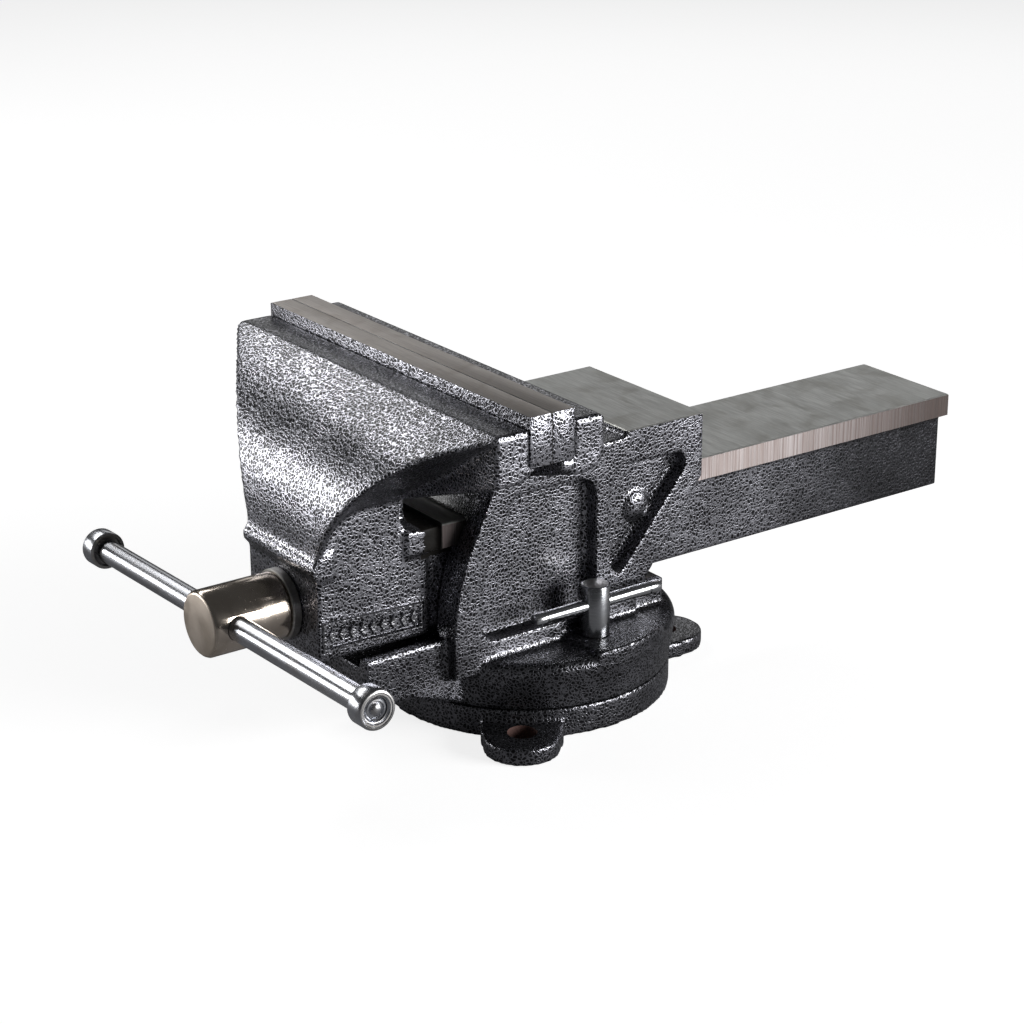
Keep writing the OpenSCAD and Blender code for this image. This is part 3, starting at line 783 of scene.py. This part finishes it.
outline = [(0, screw_low.y), (head_r - 0.0018, screw_low.y), (head_r - 0.0012, screw_low.y + 0.0002),
           (head_r - 0.0004, screw_low.y + 0.0010), (head_r, screw_low.y + 0.0019),
           (head_r, head_end - 0.0008), (head_r - 0.0008, head_end), (screw_r, head_end),
           (screw_r, thread_y[0]), (thread_root, thread_y[0] + thread_depth), (thread_root, thread_y[1]),
           (screw_r - 0.0036, screw_high.y), (0, screw_high.y)]
screw = turned("screw", outline, (0, 0, screw_z), (0, 1, 0), 128)
cross = turned("cross", [(0, -0.03), (bar_r + 0.0002, -0.03), (bar_r + 0.0002, 0.03), (0, 0.03)],
               (0, bar_y, screw_z), bar_axis, 96)
machine(screw, [cross])


def thread(start, end, pitch, crest, root):
    """A right-hand trapezoidal thread ridge round the screw's core."""
    work = bmesh.new()
    steps = 60
    turns = (end - start - pitch) / pitch
    count = int(turns * steps)
    loops = []
    for i in range(count + 1):
        turn = -2 * math.pi * i / steps
        y = start + pitch * i / steps
        swell = min(1.0, i / steps * 1.5, (count - i) / steps * 1.5)
        top = root + (crest - root) * max(swell, 0.02)
        loop = []
        buried = root - 0.0004
        for radius, shift in ((buried, 0.0004), (top, 0.0013), (top, 0.0031), (buried, 0.0040)):
            x = radius * math.cos(turn)
            z = screw_z + radius * math.sin(turn)
            loop.append(work.verts.new((x, y + shift, z)))
        loops.append(loop)
    for near, far in zip(loops, loops[1:]):
        for k in range(4):
            work.faces.new((near[k], near[(k + 1) % 4], far[(k + 1) % 4], far[k]))
    work.faces.new(loops[0])
    work.faces.new(loops[-1])
    bmesh.ops.recalc_face_normals(work, faces=work.faces)
    mesh = bpy.data.meshes.new("thread")
    work.to_mesh(mesh)
    work.free()
    return mesh


ridge = thread(thread_y[0], thread_y[1], thread_pitch, screw_r - 0.00003, thread_root)
join(screw, ridge)
coat(screw, nickel, thread_steel)
for face in screw.data.polygons:
    face.material_index = 0 if face.center.y < head_end + 0.0001 else 1
soften(screw, 28)
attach(screw, "screw")
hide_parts("spindle")


# ---- washer, spring, collar and pin ----
# A plain thrust washer takes the push of the head. Behind the block a short spring and a pinned
# collar pull the jaw back with the screw. All are small turned or wound steel pieces.

washer_low, washer_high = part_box("thrust_washer")
outline = [(screw_r + 0.00005, washer_low.y), (0.0150, washer_low.y), (0.0156, washer_low.y + 0.0005),
           (0.0156, washer_high.y - 0.0005), (0.0150, washer_high.y), (screw_r + 0.00005, washer_high.y)]
washer = turned("washer", outline, (0, 0, screw_z), (0, 1, 0))
coat(washer, oiled_steel)
soften(washer)
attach(washer, "slide")
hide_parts("thrust_washer")
for node in ("take_up_spring", "retaining_collar", "collar_pin"):
    coat(nodes[node], oiled_steel)


# ---- tommy bar ----
# A bright-plated steel bar that slides through the head. Each end is turned down and riveted over
# in a loose-fitting cap, and the rivet shows as a small dome in the middle of the cap.

cap_r = 0.0085
left_low, left_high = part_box("handle_cap_left")
right_low, right_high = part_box("handle_cap_right")
bar_centre = Vector((0, bar_y, screw_z))
bar_ends = []
for low, high, way in ((left_low, left_high, -1), (right_low, right_high, 1)):
    far = (low.x if way < 0 else high.x) - bar_centre.x
    bar_ends.append((far - way * cap_r * bar_axis.z) / bar_axis.x)

plate_finish, tree, surface, place = finish("bright_plate", 1.0)
turn_back = add(tree, "ShaderNodeMapping", {"Vector": place, "Scale": (3.0, 70.0, 70.0)})
drawn = add(tree, "ShaderNodeTexNoise", {"Vector": turn_back.outputs["Vector"], "Scale": 5.0, "Detail": 5.0})
use = add(tree, "ShaderNodeGroup", {"Place": place, "Size": 120.0}, node_tree=stains)
tone = blend_colours(tree, drawn.outputs["Fac"], (0.44, 0.45, 0.48, 1), (0.60, 0.61, 0.64, 1))
tone = blend_colours(tree, sums(tree, "MULTIPLY", use.outputs["Stain"], 0.30), tone, (0.30, 0.25, 0.20, 1))
tree.links.new(tone, surface.inputs["Base Color"])
shine = spread(tree, drawn.outputs["Fac"], 0.3, 0.7, 0.18, 0.28)
shine = sums(tree, "ADD", shine, sums(tree, "MULTIPLY", use.outputs["Scratch"], 0.18))
tree.links.new(shine, surface.inputs["Roughness"])
emboss(tree, surface, drawn.outputs["Fac"], 0.000008)


def bar_end(end, way):
    """The riveted end of the bar, from its edge to the middle of the dome."""
    points = [(bar_r, -0.0021), (bar_r - 0.0010, -0.0011), (0.0036, -0.0010), (0.0033, -0.0016),
              (0.0028, -0.0016), (0.0026, -0.0008), (0.0021, -0.0004), (0.0013, -0.0001), (0, 0)]
    return [(radius, end + way * step) for radius, step in points]


outline = bar_end(bar_ends[0], -1)[::-1] + bar_end(bar_ends[1], 1)
bar = turned("tommy_bar", outline, bar_centre, bar_axis)
coat(bar, plate_finish)
soften(bar)
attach(bar, "handle")
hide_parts("handle_bar")
cap_face = metal("brushed_cap_face", (0.56, 0.55, 0.54, 1), (0.30, 0.27, 0.24, 1), (6, 3, 3), 260.0,
                 (0.46, 0.36), 0.000006)
for name, node, end, way in (("left_cap", "handle_cap_left", bar_ends[0], -1),
                             ("right_cap", "handle_cap_right", bar_ends[1], 1)):
    points = [(bar_r + 0.00002, -0.0062), (0.0068, -0.0066), (0.0070, -0.0092), (0.0077, -0.0092),
              (0.0083, -0.0089), (cap_r, -0.0083), (cap_r, -0.0011), (0.0083, -0.0005), (0.0078, -0.0001),
              (0.0072, 0), (0.0068, -0.0003), (0.0062, -0.0003), (0.0058, -0.0006), (0.0056, -0.0012),
              (bar_r + 0.00002, -0.0013)]
    outline = [(radius, end + way * step) for radius, step in points]
    cap = turned(name, outline, bar_centre, bar_axis)
    coat(cap, plate_finish, cap_face)
    for face in cap.data.polygons:
        face.material_index = 1 if abs(face.normal.dot(bar_axis)) > 0.8 else 0
    soften(cap)
    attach(cap, "handle")
    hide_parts(node)


# ---- swivel clamps ----
# Two short screws turned from bright bar, each with its own little bar pushed through the head.
# They pull the T-nuts up in the base's slot. The bars have a groove turned near each end.

clamp_y = 0.0027
clamp_head_r = 0.0064
clamp_pad = 0.0383
clamp_bar_z = 0.0526
turned_steel = metal("bright_turned", (0.46, 0.47, 0.49, 1), (0.40, 0.38, 0.36, 1), (1, 1, 14), 140.0,
                     (0.24, 0.15), 0.000004)
turned_bar = metal("bright_bar", (0.72, 0.73, 0.75, 1), (0.40, 0.38, 0.36, 1), (1, 14, 1), 140.0,
                   (0.22, 0.13), 0.000004)
for side, x in (("left", -1), ("right", 1)):
    low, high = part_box("clamp_screw_" + side)
    centre = ((low.x + high.x) / 2, clamp_y, 0)
    outline = [(0, low.z), (0.0030, low.z), (0.0040, low.z + 0.0010), (0.0040, clamp_pad),
               (clamp_head_r - 0.0004, clamp_pad), (clamp_head_r, clamp_pad + 0.0004),
               (clamp_head_r, high.z - 0.0007), (clamp_head_r - 0.0002, high.z - 0.0003),
               (clamp_head_r - 0.0007, high.z), (0, high.z)]
    clamp = turned("clamp_screw." + side, outline, centre, (0, 0, 1))
    machine(clamp, [turned("hole", [(0, -0.02), (0.0030, -0.02), (0.0030, 0.02), (0, 0.02)],
                           (centre[0], clamp_y, clamp_bar_z), (0, 1, 0), 64)])
    coat(clamp, turned_steel, cap_face)
    for face in clamp.data.polygons:
        face.material_index = 1 if face.normal.z > 0.9 else 0
    soften(clamp)
    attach(clamp, side + "_clamp")
    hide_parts("clamp_screw_" + side)
    low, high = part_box("clamp_bar_" + side)
    r = (high.x - low.x) / 2
    start, end = low.y, high.y
    rounded_end = [(0, 0), (r - 0.0008, 0), (r - 0.0003, 0.0002), (r, 0.0007)]
    groove = [(r, 0.0056), (r - 0.0005, 0.0058), (r - 0.0005, 0.0063), (r, 0.0065)]
    near = [(radius, start + step) for radius, step in rounded_end + groove]
    outline = near + [(radius, end - step) for radius, step in (rounded_end + groove)[::-1]]
    lever = turned("clamp_bar." + side, outline, ((low.x + high.x) / 2, 0, clamp_bar_z), (0, 1, 0), 64)
    coat(lever, turned_bar)
    soften(lever)
    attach(lever, side + "_clamp_handle")
    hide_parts("clamp_bar_" + side)


# ---- studio ----
# A plain white sweep with four soft boxes: a low wide one in front and to the left, a strip high on
# the left, a large one to the right and behind, and a weak wide one behind for the level tops.

floor_finish, tree, surface, place = finish("pale_floor", 0.0)
surface.inputs["Roughness"].default_value = 0.9
mottle = add(tree, "ShaderNodeTexNoise", {"Vector": place, "Scale": 3.0, "Detail": 2.0})
seen = add(tree, "ShaderNodeLightPath").outputs["Is Camera Ray"]
pale = blend_colours(tree, mottle.outputs["Fac"], (0.48, 0.48, 0.48, 1), (0.50, 0.50, 0.50, 1))
tree.links.new(blend_colours(tree, seen, (0.30, 0.30, 0.31, 1), pale), surface.inputs["Base Color"])
surface.inputs["Emission Color"].default_value = (1, 1, 1, 1)
tree.links.new(sums(tree, "MULTIPLY", seen, 0.80), surface.inputs["Emission Strength"])
floor = block("floor", (-9, -9, -0.02), (9, 9, -0.0003))
coat(floor, floor_finish)
floor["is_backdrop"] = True

world = bpy.data.worlds.new("studio")
bpy.context.scene.world = world
world.use_nodes = True
tree = world.node_tree
tree.nodes["Background"].inputs["Color"].default_value = (0.95, 0.97, 1.0, 1)
seen = add(tree, "ShaderNodeLightPath").outputs["Is Camera Ray"]
tree.links.new(spread(tree, seen, 0.0, 1.0, 0.05, 0.9), tree.nodes["Background"].inputs["Strength"])


def soft_box(name, at, look, width, height, power):
    """A rectangular light that faces a point."""
    light = bpy.data.lights.new(name, "AREA")
    light.shape = "RECTANGLE"
    light.size = width
    light.size_y = height
    light.energy = power
    made = bpy.data.objects.new(name, light)
    bpy.context.scene.collection.objects.link(made)
    made.location = at
    made.rotation_euler = (Vector(look) - Vector(at)).to_track_quat("-Z", "Y").to_euler()


soft_box("left_front_box", (-1.15, -1.00, 0.27), (0, -0.05, 0.11), 0.8, 0.34, 8)
soft_box("left_high_box", (-1.20, -0.25, 1.02), (0, -0.03, 0.13), 1.0, 0.22, 4.5)
soft_box("right_back_box", (1.15, 0.75, 0.35), (0.02, 0.02, 0.08), 0.8, 0.6, 22)
soft_box("rear_box", (-1.15, 1.15, 0.62), (0, 0.08, 0.12), 1.5, 0.45, 1.5)

azimuth = math.radians(54.48)
elevation = math.radians(20.95)
roll = math.radians(-0.27)
back = Vector((math.sin(azimuth) * math.cos(elevation), -math.cos(azimuth) * math.cos(elevation),
               math.sin(elevation)))
level = Vector((math.cos(azimuth), math.sin(azimuth), 0))
right = level * math.cos(roll) + back.cross(level) * math.sin(roll)
above = back.cross(right)
camera = bpy.data.cameras.new("camera")
camera.sensor_width = 36
camera.lens = 91.42
view = bpy.data.objects.new("camera", camera)
bpy.context.scene.collection.objects.link(view)
view.matrix_world = Matrix((
    (right.x, above.x, back.x, 0.88424),
    (right.y, above.y, back.y, -0.63757),
    (right.z, above.z, back.z, 0.49797),
    (0, 0, 0, 1)))
bpy.context.scene.camera = view
bpy.context.scene.view_settings.view_transform = "Standard"

low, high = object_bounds()
